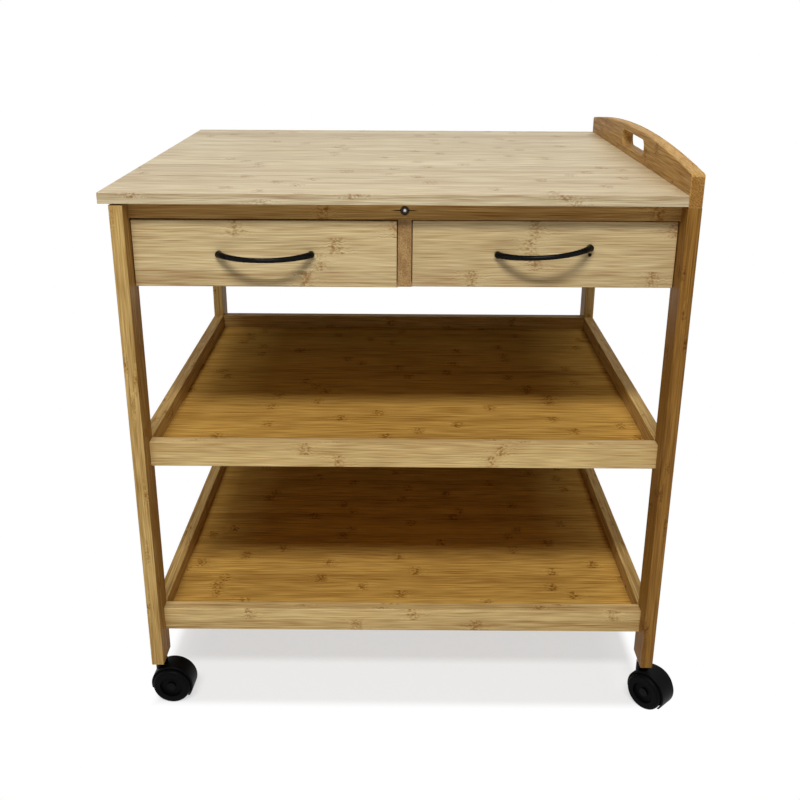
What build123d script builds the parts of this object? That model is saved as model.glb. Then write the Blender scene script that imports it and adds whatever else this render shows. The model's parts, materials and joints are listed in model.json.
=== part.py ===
from build123d import *
import os
from math import atan2, cos, radians, sin

# A bamboo serving trolley: a leg frame with a table top, two drawers, two trays and four twin-wheel casters.
# Millimetres. +Z is up, -Y is the drawer side, +X is the end with the push handle.
# The origin lies on the floor, midway between the four caster stems.

# Leg frame
frame_width = 630.0          # over the outer faces of the legs, along X
frame_depth = 560.0          # over the front and back faces of the legs, along Y
board = 15.0                 # thickness of legs, rails, aprons, divider, drawer fronts and handle panel
leg_depth = 38.0             # along Y
leg_height = 583.0
edge_ease = 1.0              # rounding along the exposed edges of every board

# Table top and push handle
top_thickness = 12.0
top_overhang = 11.0          # past the left legs
leg_top_gap = 1.5            # shadow gap between the legs and the top, which bears on the aprons
panel_end_rise = 23.0        # ends of the arched handle panel above the top
panel_crown = 16.0           # middle of the arch above its ends
panel_corner = 5.0
panel_ease = 1.6
slot_length = 124.0
slot_height = 20.0
slot_rise = 9.5              # lower edge of the hand slot above the top

# Trays
mid_tray_height = 297.0      # rail tops above the leg bottoms
low_tray_height = 68.0
tray_rail_height = 31.0
tray_recess = 20.0           # panel below the rail tops
tray_panel_thickness = 8.0
tray_tongue_thickness = 5.0  # edge of the panel, in the grooves of the rails
tray_groove_depth = 3.4
tray_field_gap = 0.4         # raised face of the panel inside the rails
groove_clearance = 0.2

# Drawers
upper_rail_height = 20.0
drawer_front_height = 75.0
drawer_rail_gap = 1.5        # above the drawer fronts
drawer_end_gap = 1.2         # each end of a drawer front
divider_inset = 3.0          # divider behind the drawer fronts
drawer_back_gap = 80.0       # free space behind the drawer that stands further in
drawer_side_rise = 6.0       # sides above the lower edge of the front
drawer_side_drop = 14.0      # sides below the upper edge of the front
drawer_side_thickness = 10.0
drawer_bottom_thickness = 4.0
drawer_bottom_rise = 5.0     # bottom above the lower edge of the sides
drawer_groove_depth = 4.0
right_drawer_inset = 4.0     # the right drawer stands pushed in a little further

# Drawer runners
runner_height = 10.0
runner_engagement = 5.0      # into the groove of the drawer side
runner_side_gap = 3.0        # bay wall to drawer side
runner_seat_gap = 0.3        # groove roof above the runner
runner_under_gap = 0.7
runner_tip_gap = 1.0
runner_end_gap = 2.0
guide_depth = 8.0            # upright strips that fill the gaps behind the ends of the drawer fronts
guide_clearance = 0.4        # guide to drawer side, to drawer front, and to the runner behind it
guide_drop = 4.2             # guides at the divider below the drawer fronts, to close the gaps from above
runner_screw_inset = 40.0    # first and last screw from the runner's ends
runner_screw_gap = 1.5       # screw tip to the middle of the wall

# Bow pulls
pull_spacing = 101.6         # screw to screw
pull_stand = 3.0             # ends of the bar in front of the drawer
pull_bow = 27.0              # middle of the bar in front of its ends
pull_end_radius = 3.8        # rounded posts that carry the bar
pull_end_ease = 3.0
pull_neck_radius = 3.7       # bar where it leaves the posts
pull_mid_radius = 2.7
pull_stations = (-1.0, -0.6, -0.2, 0.2, 0.6, 1.0)   # sections of the bar, from its middle to its ends
right_pull_tilt = 4.7        # the right pull hangs on its left screw and stands askew
pull_screw_radius = 2.0
pull_screw_head_radius = 4.0
pull_screw_head_height = 2.2
pull_screw_grip = 3.5        # into the pull's foot

# Bolts, barrel nuts and dowels
bolt_radius = 2.5
bolt_head_radius = 4.2
bolt_head_height = 3.0
bolt_reach = 30.0            # from the joint to the barrel nut's axis
bolt_tip = 6.0               # past the barrel nut's axis
bolt_clearance = 0.25
head_clearance = 0.9
cross_length = 4.8
cross_width = 1.2
cross_depth = 1.5
nut_radius = 3.5
nut_length = 9.0
fit_clearance = 0.05         # radial, for nuts, dowels, sockets, stems and axles
dowel_radius = 3.0
dowel_depth = 12.0           # into each of the two pieces
dowel_end_gap = 0.5
tray_dowel_edge = 6.0        # from the edges of a tray rail
apron_dowel_drop = 4.0       # upper dowel of an apron below the upper front rail
apron_dowel_rise = 20.0      # lower dowel above the lower edge of the apron
panel_dowel_inset = 13.5     # middle of each pair of dowels from the ends of the handle panel
panel_dowel_spread = 6.5
top_dowel_spacing = 180.0
dowel_cover = 5.0            # wood left outside a dowel in the handle panel

# Steel angle brackets under the top
bracket_leg = 18.0
bracket_width = 16.0
bracket_thickness = 1.5
bracket_spacing = 280.0
screw_radius = 1.6
screw_head_radius = 3.2
screw_head_height = 1.8
screw_cover = 3.0            # wood left past a screw's tip

# Casters
wheel_radius = 23.5
wheel_width = 12.0
wheel_edge = 4.0
wheel_show = 5.4             # wheels past the ends of the hood
wheel_recess_radius = 14.0
wheel_recess_depth = 3.5
wheel_side_gap = 0.5
caster_trail = 14.8          # axle behind the stem
hood_gap = 0.8               # wheel tread to hood
hood_thickness = 2.2
hood_web = 11.0
hood_drop = 10.4             # lip of the hood below the axle, at right angles to the lip
hood_tilt = 12.0             # the lip slopes down behind the axle
hood_ease = 1.2
neck_radius = 7.5
neck_rise = 4.7              # neck above the crown of the hood
neck_depth = 28.0            # stem bore below the neck's top
stem_radius = 4.0
stem_collar_radius = 7.0
stem_collar_height = 2.0
stem_collar_gap = 0.3
stem_length = 26.0           # inside the socket
socket_radius = 5.5
socket_flange_radius = 7.0
socket_flange_height = 1.5
socket_length = 32.0
axle_radius = 3.0
axle_head_radius = 5.5
axle_head_height = 1.5
axle_head_gap = 0.4
swivel_angles = {"front_left": -3.0, "front_right": -47.0, "back_left": 35.0, "back_right": 12.0}

touch = 0.001                # two points closer than this are one

# Places worked out from the sizes above
hood_inner = wheel_radius + hood_gap
hood_outer = hood_inner + hood_thickness
neck_top = wheel_radius + hood_outer + neck_rise
collar_bottom = neck_top + stem_collar_gap
collar_top = collar_bottom + stem_collar_height
leg_bottom = collar_top + socket_flange_height
outer_x = frame_width / 2
inner_x = outer_x - board
outer_y = frame_depth / 2
inner_y = outer_y - leg_depth
leg_x = outer_x - board / 2
leg_y = outer_y - leg_depth / 2
rail_y = inner_y + board / 2
face_y = -inner_y - board
leg_top = leg_bottom + leg_height
top_under = leg_top + leg_top_gap
top_surface = top_under + top_thickness
upper_rail_bottom = top_under - upper_rail_height
upper_rail_middle = top_under - upper_rail_height / 2
drawer_top = upper_rail_bottom - drawer_rail_gap
drawer_bottom = drawer_top - drawer_front_height
apron_middle = (drawer_bottom + top_under) / 2
apron_dowel_rows = (drawer_bottom + apron_dowel_rise, upper_rail_bottom - apron_dowel_drop)
apron_pitch = (apron_dowel_rows[1] - apron_dowel_rows[0]) / 3
apron_bolt_rows = (apron_dowel_rows[0] + apron_pitch, apron_dowel_rows[1] - apron_pitch)
tray_tops = {"mid": leg_bottom + mid_tray_height, "low": leg_bottom + low_tray_height}
tray_middles = {name: top - tray_rail_height / 2 for name, top in tray_tops.items()}
tray_dowel_spread = tray_rail_height / 2 - tray_dowel_edge
tongue_end = inner_y - dowel_depth - groove_clearance
divider_x = board / 2
bays = {"left": (-inner_x, -divider_x), "right": (divider_x, inner_x)}
side_bottom = drawer_bottom + drawer_side_rise
side_height = drawer_front_height - drawer_side_rise - drawer_side_drop
side_length = 2 * inner_y - right_drawer_inset - drawer_back_gap
runner_low = side_bottom + (side_height - runner_height) / 2
runner_thickness = runner_side_gap + runner_engagement
drawer_insets = {"left": 0.0, "right": right_drawer_inset}
guide_starts = {side: -inner_y + inset + guide_clearance for side, inset in drawer_insets.items()}
guide_thickness = runner_side_gap - guide_clearance
runner_start = guide_starts["right"] + guide_depth + guide_clearance
runner_stop = inner_y - runner_end_gap
runner_screw_rows = (runner_start + runner_screw_inset, (runner_start + runner_stop) / 2,
                     runner_stop - runner_screw_inset)
hand_sides = {"left": -1, "right": 1}
end_sides = {"front": -1, "back": 1}

os.makedirs("parts", exist_ok=True)


def save(piece, name):
    """Label a finished piece and write it."""
    piece.part.label = name
    export_step(piece.part, f"parts/{name}.step")


def along(point, direction, distance):
    """The point that lies a distance from another along a direction."""
    return tuple(p + d * distance for p, d in zip(point, direction))


def flipped(direction):
    """The opposite direction."""
    return tuple(-d for d in direction)


def block(low, high, mode=Mode.ADD):
    """A box between two corners, in the part being built."""
    with Locations(tuple((a + b) / 2 for a, b in zip(low, high))):
        Box(*(b - a for a, b in zip(low, high)), mode=mode)


def drill(point, outward, radius, depth):
    """A blind hole from a face, whose outward direction is given."""
    with Locations(Plane(origin=point, z_dir=outward)):
        Hole(radius, depth)


def rod(point, direction, radius, length):
    """A round bar from a point along a direction, in the part being built."""
    with Locations(Plane(origin=point, z_dir=direction)):
        Cylinder(radius, length, align=(Align.CENTER, Align.CENTER, Align.MIN))


# Bolted joints: the point where the two pieces meet, the bolt's direction, the side that the barrel nut's hole
# opens to, and the distance from the bolt's axis to the face there
bolts = []
for hand in hand_sides.values():
    inward = (-hand, 0, 0)
    for end in end_sides.values():
        for middle in tray_middles.values():
            bolts.append(((hand * inner_x, end * rail_y, middle), inward, (0, 0, -1), tray_rail_height / 2))
    bolts.append(((hand * inner_x, -rail_y, upper_rail_middle), inward, (0, 0, -1), upper_rail_height / 2))
    for row in apron_bolt_rows:
        bolts.append(((hand * inner_x, rail_y, row), inward, (0, -1, 0), board / 2))
bolts.append(((0, -inner_y, upper_rail_middle), (0, 1, 0), (1, 0, 0), board / 2))
bolts.append(((0, inner_y, apron_middle), (0, -1, 0), (1, 0, 0), board / 2))

# Dowelled joints: the point where the two pieces meet and the direction into the second piece, and both depths
dowels = []
for hand in hand_sides.values():
    for end in end_sides.values():
        for middle in tray_middles.values():
            for spread in (-tray_dowel_spread, tray_dowel_spread):
                meeting = (hand * leg_x, end * inner_y, middle + spread)
                dowels.append((meeting, (0, end, 0), dowel_depth, dowel_depth))
        for row in apron_dowel_rows:
            dowels.append(((hand * leg_x, end * inner_y, row), (0, end, 0), dowel_depth, dowel_depth))
for end in end_sides.values():
    for spread in (-panel_dowel_spread, panel_dowel_spread):
        meeting = (leg_x, end * (outer_y - panel_dowel_inset) + spread, leg_top)
        dowels.append((meeting, (0, 0, 1), dowel_depth, dowel_depth))
for step in (-1, 0, 1):
    meeting = (inner_x, step * top_dowel_spacing, top_under + top_thickness / 2)
    dowels.append((meeting, (1, 0, 0), dowel_depth, board - dowel_cover))


def inside(point, low, high):
    """Whether a point lies in the box between two corners, with the faces counted in."""
    return all(a - touch <= p <= b + touch for p, a, b in zip(point, low, high))


def drill_joints(low, high):
    """Every bolt, nut and dowel hole of the piece that fills the box between two corners."""
    for meeting, direction, nut_way, nut_depth in bolts:
        if not inside(meeting, low, high):
            continue
        if inside(along(meeting, direction, board / 2), low, high):
            nut = along(meeting, direction, bolt_reach)
            drill(meeting, flipped(direction), bolt_radius + bolt_clearance, bolt_reach + bolt_tip + bolt_clearance)
            drill(along(nut, nut_way, nut_depth), nut_way, nut_radius + fit_clearance, nut_depth + nut_length / 2)
        else:
            with Locations(Plane(origin=along(meeting, direction, -board), z_dir=flipped(direction))):
                CounterBoreHole(bolt_radius + bolt_clearance, bolt_head_radius + head_clearance,
                                bolt_head_height, board)
    for meeting, direction, depth_before, depth_after in dowels:
        if not inside(meeting, low, high):
            continue
        if inside(along(meeting, direction, dowel_radius), low, high):
            drill(meeting, flipped(direction), dowel_radius + fit_clearance, depth_after)
        else:
            drill(meeting, direction, dowel_radius + fit_clearance, depth_before)


# Brackets: the corner where an apron's inner face meets the top, and the direction away from the apron
brackets = []
for step in (-bracket_spacing / 2, bracket_spacing / 2):
    brackets.append(((-inner_x, step, top_under), (1, 0, 0)))
    brackets.append(((inner_x, step, top_under), (-1, 0, 0)))
    brackets.append(((step, inner_y, top_under), (0, -1, 0)))

# Screws: where the shank enters the piece that it holds, its direction, that piece's thickness and the length
# in the wood behind it
bracket_screws = []
bracket_middle = (bracket_leg + bracket_thickness) / 2
for corner, away in brackets:
    low_seat = along(along(corner, away, bracket_thickness), (0, 0, -1), bracket_middle)
    high_seat = along(along(corner, away, bracket_middle), (0, 0, -1), bracket_thickness)
    bracket_screws.append((low_seat, flipped(away), bracket_thickness, board - screw_cover))
    bracket_screws.append((high_seat, (0, 0, 1), bracket_thickness, top_thickness - screw_cover))
runner_screws = []
runner_grip = board / 2 - runner_screw_gap
for low_wall, high_wall in bays.values():
    for y in runner_screw_rows:
        height = runner_low + runner_height / 2
        runner_screws.append(((low_wall + runner_thickness, y, height), (-1, 0, 0), runner_thickness, runner_grip))
        runner_screws.append(((high_wall - runner_thickness, y, height), (1, 0, 0), runner_thickness, runner_grip))


def drill_screws(low, high):
    """The screw holes in the wood of the piece that fills the box between two corners."""
    for seat, direction, thickness, grip in bracket_screws + runner_screws:
        mouth = along(seat, direction, thickness)
        if inside(mouth, low, high):
            drill(mouth, flipped(direction), screw_radius + fit_clearance, grip)


def make_board(name, low, high, grain, grooves=(), holes=()):
    """A board between two corners, eased along its grain, with its grooves and its joint holes."""
    with BuildPart() as piece:
        block(low, high)
        fillet(piece.edges().filter_by(grain), edge_ease)
        for groove_low, groove_high in grooves:
            block(groove_low, groove_high, Mode.SUBTRACT)
        drill_joints(low, high)
        drill_screws(low, high)
        for point, outward, radius, depth in holes:
            drill(point, outward, radius, depth)
    save(piece, name)


# Legs, each bored from below for its caster socket
for end_name, end in end_sides.items():
    for hand_name, hand in hand_sides.items():
        leg_low = (hand * leg_x - board / 2, end * leg_y - leg_depth / 2, leg_bottom)
        leg_high = (hand * leg_x + board / 2, end * leg_y + leg_depth / 2, leg_top)
        socket_hole = ((hand * leg_x, end * leg_y, leg_bottom), (0, 0, -1),
                       socket_radius + fit_clearance, socket_length + fit_clearance)
        make_board(f"leg_{end_name}_{hand_name}", leg_low, leg_high, Axis.Z, holes=[socket_hole])

# Table top
make_board("table_top", (-outer_x - top_overhang, -outer_y, top_under), (inner_x, outer_y, top_surface), Axis.X)

# Handle panel: an arched board with a hand slot, standing on the right legs
panel_end = top_surface + panel_end_rise
with BuildPart() as handle_panel:
    with BuildSketch(Plane.YZ.offset(inner_x)):
        with BuildLine():
            Polyline((outer_y, panel_end), (outer_y, leg_top), (-outer_y, leg_top), (-outer_y, panel_end))
            ThreePointArc((-outer_y, panel_end), (0, panel_end + panel_crown), (outer_y, panel_end))
        arched = make_face()
        fillet(arched.vertices().group_by(Axis.Y)[-1], panel_corner)
        with Locations((0, top_surface + slot_rise + slot_height / 2)):
            SlotOverall(slot_length, slot_height, mode=Mode.SUBTRACT)
    extrude(amount=board)
    fillet(handle_panel.faces().filter_by(Axis.X).edges(), panel_ease)
    drill_joints((inner_x, -outer_y, leg_top), (outer_x, outer_y, panel_end))
save(handle_panel, "handle_panel")

# Rails and aprons under the top
make_board("upper_front_rail", (-inner_x, face_y, upper_rail_bottom), (inner_x, -inner_y, top_under), Axis.X)
make_board("back_apron", (-inner_x, inner_y, drawer_bottom), (inner_x, inner_y + board, top_under), Axis.X)
apron_tops = {"left": top_under, "right": leg_top}
for hand_name, hand in hand_sides.items():
    make_board(f"{hand_name}_apron", (hand * leg_x - board / 2, -inner_y, drawer_bottom),
               (hand * leg_x + board / 2, inner_y, apron_tops[hand_name]), Axis.Y)

# Divider between the drawers, notched round the upper front rail
with BuildPart() as drawer_divider:
    with BuildSketch(Plane.YZ.offset(-divider_x)):
        with BuildLine():
            Polyline((face_y + divider_inset, drawer_bottom), (inner_y, drawer_bottom), (inner_y, top_under),
                     (-inner_y, top_under), (-inner_y, upper_rail_bottom),
                     (face_y + divider_inset, upper_rail_bottom), close=True)
        make_face()
    extrude(amount=board)
    drill_joints((-divider_x, -inner_y, drawer_bottom), (divider_x, inner_y, top_under))
    drill_screws((-divider_x, -inner_y, drawer_bottom), (divider_x, inner_y, top_under))
save(drawer_divider, "drawer_divider")

# Runner strips, one on each wall of the two drawer bays, counterbored for their screws, and the guides before them
with BuildPart() as drawer_runners:
    for side, (low_wall, high_wall) in bays.items():
        for start, stop in ((low_wall, low_wall + runner_thickness), (high_wall - runner_thickness, high_wall)):
            block((start, runner_start, runner_low), (stop, runner_stop, runner_low + runner_height))
        for wall, start in ((low_wall, low_wall), (high_wall, high_wall - guide_thickness)):
            low_end = drawer_bottom - (guide_drop if abs(wall) == divider_x else 0)
            block((start, guide_starts[side], low_end),
                  (start + guide_thickness, guide_starts[side] + guide_depth, drawer_top))
    for seat, direction, thickness, grip in runner_screws:
        with Locations(Plane(origin=seat, z_dir=flipped(direction))):
            CounterBoreHole(screw_radius + fit_clearance, screw_head_radius + fit_clearance,
                            screw_head_height, thickness)
save(drawer_runners, "drawer_runners")

with BuildPart() as runner_screw_set:
    for seat, direction, thickness, grip in runner_screws:
        rod(seat, direction, screw_head_radius, screw_head_height)
        rod(seat, direction, screw_radius, thickness + grip)
save(runner_screw_set, "runner_screws")

# Trays: four rails grooved for the tongue of a panel, whose raised face lies between them
for tray, rail_top in tray_tops.items():
    rail_bottom = rail_top - tray_rail_height
    panel_high = rail_top - tray_recess
    panel_low = panel_high - tray_panel_thickness
    tongue_high = panel_low + tray_tongue_thickness
    groove = tray_groove_depth + groove_clearance
    for end_name, end in end_sides.items():
        groove_y = sorted((end * inner_y, end * (inner_y + groove)))
        make_board(f"{tray}_tray_{end_name}_rail", (-inner_x, end * rail_y - board / 2, rail_bottom),
                   (inner_x, end * rail_y + board / 2, rail_top), Axis.X,
                   grooves=[((-inner_x, groove_y[0], panel_low - groove_clearance),
                             (inner_x, groove_y[1], tongue_high + groove_clearance))])
    for hand_name, hand in hand_sides.items():
        groove_x = sorted((hand * inner_x, hand * (inner_x + groove)))
        make_board(f"{tray}_tray_{hand_name}_rail", (hand * leg_x - board / 2, -inner_y, rail_bottom),
                   (hand * leg_x + board / 2, inner_y, rail_top), Axis.Y,
                   grooves=[((groove_x[0], -tongue_end, panel_low - groove_clearance),
                             (groove_x[1], tongue_end, tongue_high + groove_clearance))])
    with BuildPart() as tray_panel:
        with BuildSketch(Plane.XY.offset(panel_low)):
            Rectangle(2 * (inner_x + tray_groove_depth), 2 * (tongue_end - groove_clearance))
            Rectangle(2 * (inner_x - groove_clearance), 2 * (inner_y + tray_groove_depth))
        extrude(amount=tray_tongue_thickness)
        field_corner = (inner_x - tray_field_gap, inner_y - tray_field_gap)
        block((*flipped(field_corner), panel_low), (*field_corner, panel_high))
    save(tray_panel, f"{tray}_tray_panel")


def cut_cross(seat, direction):
    """The cross recess in the face of a head."""
    with BuildSketch(Plane(origin=seat, z_dir=flipped(direction))) as cross:
        Rectangle(cross_length, cross_width)
        Rectangle(cross_width, cross_length)
    extrude(cross.sketch, amount=-cross_depth, mode=Mode.SUBTRACT)


# Frame bolts, sunk flush in their counterbores, and their barrel nuts
with BuildPart() as frame_bolts:
    for meeting, direction, nut_way, nut_depth in bolts:
        face = along(meeting, direction, -board)
        rod(face, direction, bolt_head_radius, bolt_head_height)
        rod(face, direction, bolt_radius, board + bolt_reach + bolt_tip)
        cut_cross(face, direction)
save(frame_bolts, "frame_bolts")

with BuildPart() as barrel_nuts:
    for meeting, direction, nut_way, nut_depth in bolts:
        nut = along(meeting, direction, bolt_reach)
        rod(along(nut, nut_way, -nut_length / 2), nut_way, nut_radius, nut_length)
        drill(along(nut, direction, -nut_radius), flipped(direction), bolt_radius + fit_clearance, 2 * nut_radius)
save(barrel_nuts, "barrel_nuts")

with BuildPart() as joint_dowels:
    for meeting, direction, depth_before, depth_after in dowels:
        start = along(meeting, direction, dowel_end_gap - depth_before)
        rod(start, direction, dowel_radius, depth_before + depth_after - 2 * dowel_end_gap)
save(joint_dowels, "dowels")

# Angle brackets that hold the top down, and their screws
with BuildPart() as top_brackets:
    for corner, away in brackets:
        across = (away[1], -away[0], 0)
        with BuildSketch(Plane(origin=corner, x_dir=away, z_dir=across)):
            with BuildLine():
                Polyline((0, 0), (bracket_leg, 0), (bracket_leg, -bracket_thickness),
                         (bracket_thickness, -bracket_thickness), (bracket_thickness, -bracket_leg),
                         (0, -bracket_leg), close=True)
            make_face()
        extrude(amount=bracket_width / 2, both=True)
    for seat, direction, thickness, grip in bracket_screws:
        drill(seat, flipped(direction), screw_radius + fit_clearance, thickness)
save(top_brackets, "top_brackets")

with BuildPart() as top_bracket_screws:
    for seat, direction, thickness, grip in bracket_screws:
        rod(along(seat, direction, -screw_head_height), direction, screw_head_radius, screw_head_height)
        rod(seat, direction, screw_radius, thickness + grip)
save(top_bracket_screws, "top_bracket_screws")


def make_pull(name, foot, tilt):
    """A bow pull: two rounded posts and a bar that thins towards its middle, turned by a tilt about its left foot."""
    turned = Plane(origin=foot, x_dir=(cos(radians(tilt)), 0, sin(radians(tilt))),
                   z_dir=(-sin(radians(tilt)), 0, cos(radians(tilt))))
    feet = [tuple(turned.from_local_coords(Vector(reach, 0, 0))) for reach in (0, pull_spacing)]
    half = pull_spacing / 2
    bow_radius = (half ** 2 + pull_bow ** 2) / (2 * pull_bow)
    half_angle = atan2(half, bow_radius - pull_bow)
    centre_y = bow_radius - pull_bow - pull_stand
    with BuildPart() as pull:
        for point in feet:
            rod(point, (0, -1, 0), pull_end_radius, pull_stand + pull_end_radius)
        fillet(pull.edges().group_by(Axis.Y)[0], pull_end_ease)
        for share in pull_stations:
            angle = share * half_angle
            place = turned.from_local_coords(Vector(half + bow_radius * sin(angle),
                                                    centre_y - bow_radius * cos(angle), 0))
            tangent = turned.from_local_coords(Vector(cos(angle), sin(angle), 0)) - turned.origin
            with BuildSketch(Plane(origin=place, x_dir=turned.z_dir, z_dir=tangent)):
                Circle(pull_mid_radius + (pull_neck_radius - pull_mid_radius) * share ** 2)
        loft()
        for point in feet:
            drill(point, (0, 1, 0), pull_screw_radius + fit_clearance, pull_screw_grip + pull_screw_head_height)
    save(pull, name)


def make_drawer(side, low_wall, high_wall, inset, tilt, screw_count):
    """A drawer that fills the bay between two walls: front, sides, back, bottom, pull and pull screws."""
    low_x = low_wall + drawer_end_gap
    high_x = high_wall - drawer_end_gap
    middle = (low_x + high_x) / 2
    front = face_y + inset
    front_back = front + board
    back_end = front_back + side_length
    bottom_low = side_bottom + drawer_bottom_rise
    bottom_high = bottom_low + drawer_bottom_thickness
    outer_low = low_wall + runner_side_gap
    outer_high = high_wall - runner_side_gap
    inner_low = outer_low + drawer_side_thickness
    inner_high = outer_high - drawer_side_thickness
    groove = drawer_groove_depth + groove_clearance
    foot_height = (drawer_bottom + drawer_top) / 2
    feet = [middle - pull_spacing / 2, middle + pull_spacing / 2]

    make_board(f"{side}_drawer_front", (low_x, front, drawer_bottom), (high_x, front_back, drawer_top), Axis.X,
               grooves=[((inner_low - groove, front_back - groove, bottom_low - groove_clearance),
                         (inner_high + groove, front_back, bottom_high + groove_clearance))],
               holes=[((x, front, foot_height), (0, -1, 0), pull_screw_radius + bolt_clearance, board) for x in feet])

    slot_low = runner_low - runner_under_gap
    slot_high = runner_low + runner_height + runner_seat_gap
    slot_depth = runner_engagement + runner_tip_gap
    sides = {"left": (outer_low, inner_low, 1), "right": (inner_high, outer_high, -1)}
    for name, (start, stop, way) in sides.items():
        outside_x, inside_x = (start, stop) if way > 0 else (stop, start)
        runner_slot = sorted((outside_x, outside_x + way * slot_depth))
        bottom_slot = sorted((inside_x, inside_x - way * groove))
        make_board(f"{side}_drawer_{name}_side", (start, front_back, side_bottom),
                   (stop, back_end, side_bottom + side_height), Axis.Y,
                   grooves=[((runner_slot[0], front_back, slot_low), (runner_slot[1], back_end, slot_high)),
                            ((bottom_slot[0], front_back, bottom_low - groove_clearance),
                             (bottom_slot[1], back_end, bottom_high + groove_clearance))])
    make_board(f"{side}_drawer_back", (inner_low, back_end - drawer_side_thickness, bottom_high + groove_clearance),
               (inner_high, back_end, side_bottom + side_height), Axis.X)
    with BuildPart() as drawer_base:
        block((inner_low - drawer_groove_depth, front_back - drawer_groove_depth, bottom_low),
              (inner_high + drawer_groove_depth, back_end, bottom_high))
    save(drawer_base, f"{side}_drawer_bottom")

    make_pull(f"{side}_drawer_pull", (feet[0], front, foot_height), tilt)
    with BuildPart() as pull_screws:
        for x in feet[:screw_count]:
            seat = (x, front_back, foot_height)
            rod(seat, (0, 1, 0), pull_screw_head_radius, pull_screw_head_height)
            rod(seat, (0, -1, 0), pull_screw_radius, board + pull_screw_grip)
            cut_cross(along(seat, (0, 1, 0), pull_screw_head_height), (0, -1, 0))
    save(pull_screws, f"{side}_drawer_pull_screws")


make_drawer("left", *bays["left"], inset=drawer_insets["left"], tilt=0, screw_count=2)
make_drawer("right", *bays["right"], inset=drawer_insets["right"], tilt=right_pull_tilt, screw_count=1)

# Caster sockets pressed into the legs, and the stems that stand in them
stems = {f"{end_name}_{hand_name}": (hand * leg_x, end * leg_y)
         for end_name, end in end_sides.items() for hand_name, hand in hand_sides.items()}
with BuildPart() as caster_sockets:
    for x, y in stems.values():
        rod((x, y, collar_top), (0, 0, 1), socket_flange_radius, socket_flange_height)
        rod((x, y, collar_top), (0, 0, 1), socket_radius, socket_flange_height + socket_length)
        drill((x, y, collar_top), (0, 0, -1), stem_radius + fit_clearance, stem_length + fit_clearance)
save(caster_sockets, "caster_sockets")

with BuildPart() as caster_stems:
    for x, y in stems.values():
        rod((x, y, collar_bottom), (0, 0, 1), stem_collar_radius, stem_collar_height)
        rod((x, y, collar_top + stem_length), (0, 0, -1), stem_radius,
            stem_length + stem_collar_height + stem_collar_gap + neck_depth - fit_clearance)
save(caster_stems, "caster_stems")

# Casters: a hood with a web between its wheels, an axle with two heads and two wheels
wheel_start = hood_web / 2 + wheel_side_gap
wheel_stop = wheel_start + wheel_width
hood_half = wheel_stop - wheel_show
axle_head_start = wheel_stop - wheel_recess_depth + axle_head_gap
hood_cut = hood_drop + hood_outer


def make_caster(corner, stem, angle):
    """A caster whose wheels trail behind its stem in the direction of an angle from +X."""
    trail = (cos(radians(angle)), sin(radians(angle)), 0)
    axis = (trail[1], -trail[0], 0)
    hub = along((*stem, wheel_radius), trail, caster_trail)
    side = Plane(origin=hub, x_dir=trail, z_dir=axis)

    with BuildPart() as hood:
        with BuildSketch(side):
            Circle(hood_outer)
            with Locations((-hood_cut * sin(radians(hood_tilt)), -hood_cut * cos(radians(hood_tilt)))):
                Rectangle(2 * hood_outer, 2 * hood_outer, rotation=-hood_tilt, mode=Mode.SUBTRACT)
        extrude(amount=hood_half, both=True)
        fillet(hood.edges().filter_by(GeomType.CIRCLE), hood_ease)
        rod((*stem, wheel_radius), (0, 0, 1), neck_radius, neck_top - wheel_radius)
        for way in (-1, 1):
            with BuildSketch(side.offset(way * hood_web / 2)):
                Circle(hood_inner)
            extrude(amount=way * hood_half, mode=Mode.SUBTRACT)
        drill((*stem, neck_top), (0, 0, 1), stem_radius + fit_clearance, neck_depth)
        drill(along(hub, axis, hood_half), axis, axle_radius + fit_clearance, 2 * hood_half)
    save(hood, f"caster_{corner}_hood")

    with BuildPart() as axle:
        with BuildSketch(side):
            Circle(axle_radius)
        extrude(amount=axle_head_start, both=True)
        for way in (-1, 1):
            with BuildSketch(side.offset(way * axle_head_start)):
                Circle(axle_head_radius)
            extrude(amount=way * axle_head_height)
    save(axle, f"caster_{corner}_axle")

    for name, way in {"near": 1, "far": -1}.items():
        with BuildPart() as wheel:
            with BuildSketch(side.offset(way * wheel_start)):
                Circle(wheel_radius)
                Circle(axle_radius + fit_clearance, mode=Mode.SUBTRACT)
            extrude(amount=way * wheel_width)
            rims = wheel.edges().filter_by(GeomType.CIRCLE).filter_by(lambda rim: rim.radius > axle_head_radius)
            fillet(rims.sort_by(lambda rim: (rim.arc_center - Vector(*hub)).length)[-1], wheel_edge)
            with BuildSketch(side.offset(way * wheel_stop)):
                Circle(wheel_recess_radius)
            extrude(amount=-way * wheel_recess_depth, mode=Mode.SUBTRACT)
        save(wheel, f"caster_{corner}_{name}_wheel")


for corner, stem in stems.items():
    make_caster(corner, stem, swivel_angles[corner])
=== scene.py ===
import json
import math
import bpy
from mathutils import Matrix, Vector


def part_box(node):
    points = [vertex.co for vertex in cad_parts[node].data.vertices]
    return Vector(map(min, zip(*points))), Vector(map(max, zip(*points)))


# A bamboo serving trolley with drawers, trays and casters, in metres: +Z up, drawers towards -Y, handle at +X.
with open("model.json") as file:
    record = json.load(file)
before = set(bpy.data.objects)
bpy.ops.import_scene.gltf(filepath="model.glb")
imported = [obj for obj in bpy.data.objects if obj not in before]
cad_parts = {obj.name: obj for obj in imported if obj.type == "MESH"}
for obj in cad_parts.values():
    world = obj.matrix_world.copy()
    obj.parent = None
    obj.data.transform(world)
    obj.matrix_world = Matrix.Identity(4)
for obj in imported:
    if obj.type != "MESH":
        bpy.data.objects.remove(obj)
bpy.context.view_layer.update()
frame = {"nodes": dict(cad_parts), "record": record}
nodes = frame["nodes"]

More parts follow.
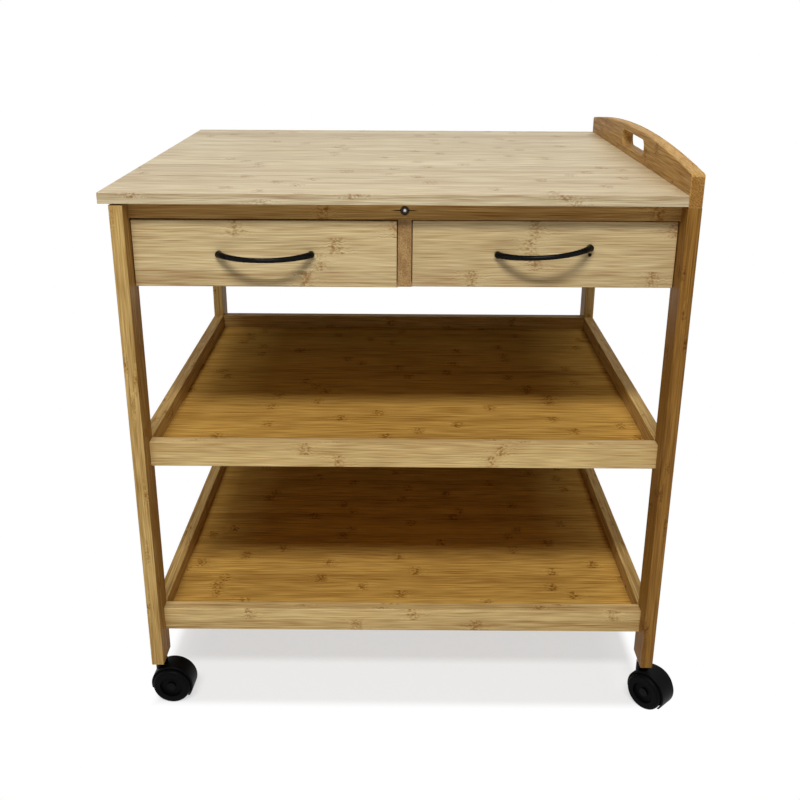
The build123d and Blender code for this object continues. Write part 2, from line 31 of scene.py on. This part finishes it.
# Bamboo boards
strip_width = 0.0190            # strips side by side on a board's wide face
ply_thickness = 0.0050          # layers of strips
ply_offset = 0.37               # seams of one ply against those of the next, in strip widths
seam_width = 0.0005             # glue line between two strips
cane_node_spacing = 0.27        # from one node of the cane to the next, along a strip
cane_node_stray = 0.6           # range of a node about its regular place, in spacings
cane_node_reach = 0.0110        # how far a node disturbs the fibres
cane_node_ragged = 0.014        # wander of a node's outline
strip_shuffle = 7.0             # range of the nodes' shift from strip to strip, in spacings
board_seed = 1.7                # step from one board's seed to the next one's
curl_seed = 3.1                 # how much faster the seed of the curls goes
face_rim = 0.0004               # from a face, over which its deeper tone fades
end_depth = 0.38                # how much deeper the sawn ends of every board are
leg_side_painted_shade = 0.45           # painted shade: how much darker the wide side faces of the amber legs are than their edges
crack_length = 0.017            # drying crack each side of the middle bolt in the upper front rail
crack_width = 0.0016
crack_wander = 0.0006

# Figure of the bamboo, in cells per metre along and across the grain
curl_pitch = (150.0, 130.0)     # curled fibres at a node
fleck_pitch = (290.0, 330.0)    # dark and bright flecks at a node
wave_pitch = (10.0, 20.0)       # slow wander of the fibres
fibre_pitch = (17.0, 600.0)
streak_pitch = (4.0, 110.0)
cloud_pitch = (5.0, 12.0)
fleck_band = (0.52, 0.64)       # noise over which a dark fleck comes in
glint_band = (0.48, 0.38)       # noise over which a bright one does
node_bend = 0.008               # how far a node pushes the fibres aside, in metres
wave_bend = 0.003               # how far their slow wander moves them
strip_bend = 0.31               # most that the fibres of one strip are shifted against another's

# How far each feature takes a board from its pale to its deep colour
plain_depth = 0.38
strip_weight = 0.28
streak_weight = 0.30
fibre_weight = 1.7
cloud_weight = 0.4
node_weight = 0.24
fleck_weight = 0.36
glint_weight = 0.26
seam_weight = 0.05

# Relief and roughness of the bamboo. A bump has a strength and a height in metres.
fibre_relief = 0.5
seam_relief = 0.6
fleck_relief = 0.4
crack_relief = 2.0
bamboo_bump = (0.12, 0.0004)
bamboo_roughness = 0.40
fibre_roughness = 0.18

# Plain woods, in cells per metre along and across the grain
figure_pitch = (7.0, 130.0)
figure_start = 0.3              # noise at which the figure is palest
figure_weight = 1.4
pore_pitch = (160.0, 1100.0)
pore_band = (0.58, 0.70)        # noise over which a dark fleck comes in
pore_weight = 0.35
pore_relief = 0.5
wood_bump = (0.10, 0.0003)
wood_roughness = 0.52
figure_roughness = 0.16
wood_gloss = 0.3

# Black skin and steel, in cells per metre
pebble_pitch = 1600.0
sheen_pitch = 70.0
sheen_roughness = 0.16
skin_bump = (0.14, 0.0002)
turning_pitch = 900.0
tarnish_pitch = 120.0
turning_roughness = 0.2
plated_roughness = 0.22
bolt_roughness = 0.25
steel_bump = (0.08, 0.0002)
bolt_highlight_reach = (0.0008, 0.0022)    # from the middle bolt's axis, where its painted highlight fades into the painted shade of its dark rim

# Camera, fitted to the edges of the object in the photograph
camera_place = (-0.0018, -1.2989, 0.8411)
camera_pitch = 0.3398
camera_yaw = 0.0026
camera_roll = -0.0050
focal_length = 43.65            # in mm, as the next
sensor_width = 36.0
frame_shift = -0.0625

# Stage
floor_size = 9.0
floor_shade = 0.38              # share of the floor's look that takes shadows, under the object
shade_fade = (-0.010, 0.008)    # from the outer faces of the legs, over which the floor fades to white
even_light = 0.065              # light from all round on the object, where the backdrop's white is 1
front_power = 60                # in watts, as the next
upper_power = 11


def tint(red, green, blue):
    """A colour written as on screen, from 0 to 255, as linear light with alpha."""
    shares = [c / 255 for c in (red, green, blue)]
    return (*(s / 12.92 if s <= 0.04045 else ((s + 0.055) / 1.055) ** 2.4 for s in shares), 1.0)


class Socket:
    """One output in a node tree. Arithmetic on it adds Math nodes to that tree."""

    def __init__(self, finish, output):
        self.finish = finish
        self.output = output

    def other(self, name):
        """Another output of the same node."""
        return Socket(self.finish, self.output.node.outputs[name])

    def math(self, operation, *others):
        return self.finish.add("ShaderNodeMath", {"operation": operation}, dict(enumerate((self, *others))))

    def reflected(self, operation, first):
        return self.finish.add("ShaderNodeMath", {"operation": operation}, {0: first, 1: self})

    def __add__(self, value):
        return self.math("ADD", value)

    __radd__ = __add__

    def __sub__(self, value):
        return self.math("SUBTRACT", value)

    def __rsub__(self, value):
        return self.reflected("SUBTRACT", value)

    def __mul__(self, value):
        return self.math("MULTIPLY", value)

    __rmul__ = __mul__

    def __truediv__(self, value):
        return self.math("DIVIDE", value)


class Finish:
    """A material or a world being wired. add() takes any node's type, its settings and its inputs."""

    def __init__(self, owner):
        owner.use_nodes = True
        self.owner = owner
        self.nodes = owner.node_tree.nodes
        self.links = owner.node_tree.links

    def connect(self, socket, value):
        if isinstance(value, Socket):
            self.links.new(value.output, socket)
        else:
            socket.default_value = value

    def add(self, kind, settings=None, inputs=None, output=0):
        node = self.nodes.new(kind)
        for name, value in (settings or {}).items():
            setattr(node, name, value)
        for name, value in (inputs or {}).items():
            self.connect(node.inputs[name], value)
        return Socket(self, node.outputs[output])

    def place(self):
        """Where a point lies on its piece."""
        return self.add("ShaderNodeTexCoord", output="Object")

    def split(self, vector):
        """A vector's X, with its Y and Z as other outputs."""
        return self.add("ShaderNodeSeparateXYZ", inputs={0: vector})

    def vector(self, x, y, z):
        return self.add("ShaderNodeCombineXYZ", inputs={0: x, 1: y, 2: z})

    def vector_math(self, operation, *values, output=0):
        return self.add("ShaderNodeVectorMath", {"operation": operation}, dict(enumerate(values)), output)

    def mix(self, share, first, second):
        """A colour between two others."""
        return self.add("ShaderNodeMix", {"data_type": "RGBA"}, {0: share, 6: first, 7: second}, output=2)

    def ramp(self, value, low, high, start=0.0, stop=1.0):
        """A value carried smoothly from start to stop as it passes from low to high."""
        return self.add("ShaderNodeMapRange", {"interpolation_type": "SMOOTHSTEP"},
                        {0: value, 1: low, 2: high, 3: start, 4: stop})

    def noise(self, place, scale=1.0, detail=2.0, roughness=0.5):
        return self.add("ShaderNodeTexNoise", inputs={"Vector": place, "Scale": scale, "Detail": detail,
                                                      "Roughness": roughness})

    def chance(self, x, y, z):
        """A random value from 0 to 1 that is the same all over one cell."""
        return self.add("ShaderNodeTexWhiteNoise", inputs={"Vector": self.vector(x, y, z)})

    def seen(self):
        """1 for rays from the camera, straight or by way of gloss or glass, and 0 for rays that carry light."""
        rays = self.add("ShaderNodeLightPath")
        direct = rays.other("Is Camera Ray").math("MAXIMUM", rays.other("Is Glossy Ray"))
        return direct.math("MAXIMUM", rays.other("Is Transmission Ray"))

    def bump(self, height, strength, distance):
        return self.add("ShaderNodeBump", inputs={"Strength": strength, "Distance": distance, "Height": height})

    def surface(self, **inputs):
        """Sets inputs of the material's main shader, and gives back the material."""
        shader = self.nodes["Principled BSDF"]
        for name, value in inputs.items():
            self.connect(shader.inputs[name.replace("_", " ")], value)
        return self.owner


def new_finish(name):
    return Finish(bpy.data.materials.new(name))


def bamboo(node, seed, pale, deep, gloss, painted_side_shade=0.0, crack_reach=0.0):
    """Pressed bamboo for one board: strips in plies with a tone each, long fibres and the nodes of the cane.

    The grain runs along the board's longest side, the strips lie side by side across its middle one and the
    plies divide its shortest one, so every face, edge and end shows its own section of the same timber.
    """
    low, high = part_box(node)
    size = high - low
    grain, width, thick = sorted(range(3), key=lambda axis: -size[axis])
    finish = new_finish("bamboo_" + node)
    xyz = finish.split(finish.place())
    along, across, depth = (xyz.other("XYZ"[axis]) - low[axis] for axis in (grain, width, thick))
    plies = max(1, round(size[thick] / ply_thickness))
    strips = max(1, round(size[width] / strip_width))
    ply = (depth * (plies / size[thick])).math("FLOOR")
    row = across * (strips / size[width]) + ply * ply_offset
    strip = row.math("FLOOR")
    tone = finish.chance(strip, ply, seed)
    shift = finish.chance(strip, ply, seed + 0.5)

    def figure(pitch, sideways, detail=2.0, roughness=0.5):
        """Noise in cells of a pitch along and across the grain."""
        cell = finish.vector(along * pitch[0], sideways * pitch[1], depth * pitch[1] + seed)
        return finish.noise(cell, detail=detail, roughness=roughness)

    def on_faces(position, side, strength):
        """A strength on the two faces that end one side of the board, and 0 inside it."""
        from_middle = (position - size[side] / 2).math("ABSOLUTE")
        return finish.ramp(from_middle, size[side] / 2 - face_rim, size[side] / 2, 0.0, strength)

    # Nodes of the cane, one in each stretch of every strip: a brown lens of curled fibres with flecks
    stretch = along / cane_node_spacing + shift * strip_shuffle
    jitter = finish.chance(stretch.math("FLOOR"), strip, ply + seed)
    from_node = (stretch.math("FRACT") - 0.5 + (jitter - 0.5) * cane_node_stray) * cane_node_spacing
    curl_across = across * curl_pitch[1] + seed * curl_seed
    curl_cell = finish.vector(along * curl_pitch[0], curl_across, depth * curl_pitch[1])
    curl = finish.noise(curl_cell, roughness=0.6)
    away = from_node.math("ABSOLUTE") + (curl - 0.5) * cane_node_ragged
    reach = finish.ramp(away, 0.0, cane_node_reach, 1.0, 0.0)
    flecks = figure(fleck_pitch, across, detail=1.0)
    fleck = finish.ramp(flecks, *fleck_band) * reach
    glint = finish.ramp(flecks, *glint_band) * reach

    # Fibres, a little wavy and bent where they pass a node
    wave = figure(wave_pitch, across)
    push = finish.ramp(away, 0.0, cane_node_reach * 3, node_bend, 0.0)
    bend = (curl - 0.5) * push + (wave - 0.5) * wave_bend
    fibre_across = across + bend + tone * strip_bend
    fibre = figure(fibre_pitch, fibre_across, detail=1.0, roughness=0.9)
    streak = figure(streak_pitch, fibre_across)
    cloud = figure(cloud_pitch, across)

    # Glue lines
    from_seam = ((row.math("FRACT") - 0.5).math("ABSOLUTE") - 0.5) * (-size[width] / strips)
    glue = finish.ramp(from_seam, 0.0, seam_width, 1.0, 0.0)

    share = plain_depth + (tone - 0.5) * strip_weight + (streak - 0.5) * streak_weight
    share = share + (fibre - 0.5) * fibre_weight + (cloud - 0.5) * cloud_weight
    share = share + reach * node_weight + fleck * fleck_weight - glint * glint_weight + glue * seam_weight
    share = share + on_faces(along, grain, end_depth)
    # Painted shade: the wide side faces of the amber legs are darkened as if they lay in shade
    if painted_side_shade:
        share = share + on_faces(depth, thick, painted_side_shade)
    colour = finish.mix(share, pale, deep)
    relief = fibre * fibre_relief - glue * seam_relief - fleck * fleck_relief
    if crack_reach:
        middle = (low + high) / 2
        from_crack = (xyz.other("Z") - middle[2] + (fibre - 0.5) * crack_wander).math("ABSOLUTE")
        from_bolt = (xyz.other("X") - middle[0]).math("ABSOLUTE")
        crack = finish.ramp(from_crack, crack_width / 4, crack_width / 2, 1.0, 0.0)
        crack = crack * finish.ramp(from_bolt, crack_reach / 2, crack_reach, 1.0, 0.0)
        colour = finish.mix(crack, colour, crack_tone)
        relief = relief - crack * crack_relief
    return finish.surface(Base_Color=colour, Roughness=bamboo_roughness + fibre * fibre_roughness,
                          Specular_IOR_Level=gloss, Normal=finish.bump(relief, *bamboo_bump))


def plain_wood(node, seed, pale, deep):
    """Planed hardwood or sealed ply: straight figure along the longest side and short dark flecks."""
    low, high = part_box(node)
    size = high - low
    grain = max(range(3), key=lambda axis: size[axis])
    finish = new_finish("plain_" + node)
    xyz = finish.split(finish.place())

    def cell(pitch):
        """A place in cells of a pitch along and across the grain."""
        scales = [pitch[0] if axis == grain else pitch[1] for axis in range(3)]
        return finish.vector(*(xyz.other(name) * scale + seed for name, scale in zip("XYZ", scales)))

    figure = finish.noise(cell(figure_pitch), detail=3.0, roughness=0.55)
    pores = finish.ramp(finish.noise(cell(pore_pitch), detail=1.0), *pore_band)
    colour = finish.mix((figure - figure_start) * figure_weight + pores * pore_weight, pale, deep)
    return finish.surface(Base_Color=colour, Roughness=wood_roughness + figure * figure_roughness,
                          Specular_IOR_Level=wood_gloss,
                          Normal=finish.bump(figure - pores * pore_relief, *wood_bump))


def moulded(name, roughness, gloss):
    """Black nylon or paint: a fine pebbled skin with faint clouds in its sheen."""
    finish = new_finish(name)
    place = finish.place()
    pebbles = finish.noise(place, pebble_pitch, roughness=0.6)
    clouds = finish.noise(place, sheen_pitch)
    return finish.surface(Base_Color=finish.mix(clouds, black, charcoal), Specular_IOR_Level=gloss,
                          Roughness=clouds * sheen_roughness + roughness,
                          Normal=finish.bump(pebbles, *skin_bump))


def steel(finish, place, colour, roughness):
    """Bare metal of a colour, with fine turning marks."""
    marks = finish.noise(place, turning_pitch, detail=3.0, roughness=0.6)
    return finish.surface(Base_Color=colour, Metallic=1.0, Roughness=marks * turning_roughness + roughness,
                          Normal=finish.bump(marks, *steel_bump))


def plated_steel(name, bright, dull):
    """Plated steel with faint clouds."""
    finish = new_finish(name)
    place = finish.place()
    clouds = finish.noise(place, tarnish_pitch)
    return steel(finish, place, finish.mix(clouds, bright, dull), plated_roughness)


def sunk_bolts(rail):
    """Dull dark bolts. The one in the middle of a rail's front has a painted highlight round its recess and
    painted shade at its rim.
    """
    finish = new_finish("sunk_bolts")
    place = finish.place()
    low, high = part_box(rail)
    offset = finish.vector_math("SUBTRACT", place, Vector((low + high) / 2))
    flat = finish.vector_math("MULTIPLY", offset, (1, 0, 1))
    distance = finish.vector_math("LENGTH", flat, output="Value")
    # Painted highlight on the middle bolt's face, fading out to the dark colour, which serves as painted shade
    # at its rim
    painted_highlight = finish.ramp(distance, *bolt_highlight_reach, 1.0, 0.0)
    return steel(finish, place, finish.mix(painted_highlight, dark_bolt_and_rim_shade, bolt_painted_highlight), bolt_roughness)


def set_finish(node, material):
    """Every material slot of a node's object gets one finish."""
    for slot in nodes[node].material_slots:
        slot.material = material


# Tones of the boards: the pale and the deep end of their colour, and their gloss
natural = (tint(222, 200, 150), tint(150, 112, 62), 0.35)
warm = (tint(227, 198, 136), tint(152, 110, 51), 0.20)
amber = (tint(219, 185, 118), tint(146, 103, 44), 0.05)
russet = (tint(214, 173, 106), tint(142, 95, 39), 0.05)
browned = (tint(160, 116, 52), tint(98, 58, 16), 0.10)
pinkish = (tint(205, 170, 112), tint(139, 102, 60), 0.25)
pale_top = (tint(221, 206, 168), tint(146, 110, 64), 0.45)
golden_tray = (tint(219, 174, 90), tint(128, 82, 24), 0.0)
board_tones = {
    "table_top": pale_top,
    "leg_front_left": amber,
    "leg_back_left": amber,
    "leg_back_right": amber,
    "leg_front_right": browned,
    "handle_panel": russet,
    "upper_front_rail": russet,
    "drawer_divider": pinkish,
}
for tray in ("mid", "low"):
    board_tones[f"{tray}_tray_panel"] = golden_tray
    board_tones[f"{tray}_tray_front_rail"] = warm
    board_tones.update({f"{tray}_tray_{side}_rail": amber for side in ("left", "right", "back")})

# Other tones
crack_tone = tint(52, 30, 10)
# Dark colour of the bolts, which is also the painted shade at the middle bolt's rim; then the painted highlight
# on that bolt's face
dark_bolt_and_rim_shade = tint(48, 44, 40)
bolt_painted_highlight = tint(225, 222, 214)
black = tint(5, 5, 5)
charcoal = tint(12, 12, 13)
floor_tone = tint(244, 244, 244)
plain_tones = {
    "plain_beech": (tint(214, 180, 136), tint(176, 136, 92)),
    "drawer_ply": (tint(220, 196, 152), tint(186, 152, 104)),
}

# Each node gets its finish: its own board's, or one that it shares
shared_finishes = {
    "black_nylon": moulded("black_nylon", 0.34, 0.05),
    "black_wheel": moulded("black_wheel", 0.42, 0.04),
    "black_pull": moulded("black_pull", 0.18, 0.08),
    "zinc_steel": plated_steel("zinc_steel", tint(205, 205, 200), tint(160, 160, 156)),
}
blackened = plated_steel("blackened_steel", tint(26, 25, 24), tint(14, 14, 13))
slot_of = {part["node"]: part["material_slot"] for part in frame["record"]["subparts"]}
for order, node in enumerate(sorted(nodes)):
    seed = order * board_seed
    if node.endswith("_axle"):
        set_finish(node, blackened)
    elif node == "frame_bolts":
        set_finish(node, sunk_bolts("upper_front_rail"))
    elif slot_of[node] in shared_finishes:
        set_finish(node, shared_finishes[slot_of[node]])
    elif slot_of[node] in plain_tones:
        set_finish(node, plain_wood(node, seed, *plain_tones[slot_of[node]]))
    else:
        tone = board_tones.get(node, natural)
        # Painted shade on the wide side faces of the amber legs
        painted_side_shade = leg_side_painted_shade if node.startswith("leg_") and tone is amber else 0.0
        crack_reach = crack_length if node == "upper_front_rail" else 0.0
        set_finish(node, bamboo(node, seed, *tone, painted_side_shade, crack_reach))


def make_floor():
    """A pale floor, with the object's shadow between its legs and the white of the backdrop outside them."""
    mesh = bpy.data.meshes.new("floor")
    half = floor_size / 2
    corners = [(-half, -half, 0), (half, -half, 0), (half, half, 0), (-half, half, 0)]
    mesh.from_pydata(corners, [], [(0, 1, 2, 3)])
    floor = bpy.data.objects.new("floor", mesh)
    bpy.context.scene.collection.objects.link(floor)
    finish = new_finish("pale_floor")
    finish.surface(Base_Color=floor_tone, Roughness=0.9)
    xyz = finish.split(finish.place())
    leg_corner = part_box("leg_back_right")[1]
    beside = xyz.other("X").math("ABSOLUTE") - leg_corner[0]
    before = xyz.other("Y").math("ABSOLUTE") - leg_corner[1]
    distance = beside.math("MAXIMUM", before)
    white = finish.add("ShaderNodeEmission", inputs={"Color": (1, 1, 1, 1), "Strength": 1.0})
    cover = finish.ramp(distance, *shade_fade, 1 - floor_shade, 1.0) * finish.seen()
    shaded = Socket(finish, finish.nodes["Principled BSDF"].outputs[0])
    both = finish.add("ShaderNodeMixShader", inputs={0: cover, 1: shaded, 2: white})
    finish.connect(finish.nodes["Material Output"].inputs["Surface"], both)
    mesh.materials.append(finish.owner)


def add_lamp(name, place, target, size, power):
    """A soft rectangular lamp that faces a point."""
    lamp = bpy.data.lights.new(name, "AREA")
    lamp.shape = "RECTANGLE"
    lamp.size, lamp.size_y = size
    lamp.energy = power
    holder = bpy.data.objects.new(name, lamp)
    holder.location = place
    holder.rotation_euler = (Vector(target) - Vector(place)).to_track_quat("-Z", "Y").to_euler()
    bpy.context.scene.collection.objects.link(holder)


def light_stage():
    """A soft lamp in front, two high above the sides, and a faint even light that the camera sees as white."""
    add_lamp("front_lamp", place=(-0.15, -2.0, 2.6), target=(0, -0.1, 0.4), size=(1.4, 0.36),
             power=front_power)
    for side in (-1, 1):
        add_lamp("upper_lamp", place=(side * 1.1, 0.1, 2.9), target=(0, 0, 0.4), size=(0.12, 1.0),
                 power=upper_power)
    world = bpy.data.worlds.new("studio")
    bpy.context.scene.world = world
    studio = Finish(world)
    back = studio.nodes["Background"]
    studio.connect(back.inputs["Color"], (1, 1, 1, 1))
    studio.connect(back.inputs["Strength"], even_light + studio.seen() * (1 - even_light))


def place_camera():
    """A camera turned about the vertical, tipped down and rolled a little about its line of sight."""
    lens = bpy.data.cameras.new("camera")
    lens.lens = focal_length
    lens.sensor_width = sensor_width
    lens.shift_y = frame_shift
    camera = bpy.data.objects.new("camera", lens)
    turn = Matrix.Rotation(camera_yaw, 4, "Z") @ Matrix.Rotation(-camera_pitch, 4, "X")
    turn = turn @ Matrix.Rotation(camera_roll, 4, "Y") @ Matrix.Rotation(math.pi / 2, 4, "X")
    camera.matrix_world = Matrix.Translation(camera_place) @ turn
    bpy.context.scene.collection.objects.link(camera)
    bpy.context.scene.camera = camera


make_floor()
light_stage()
place_camera()
bpy.context.scene.view_settings.view_transform = "Standard"
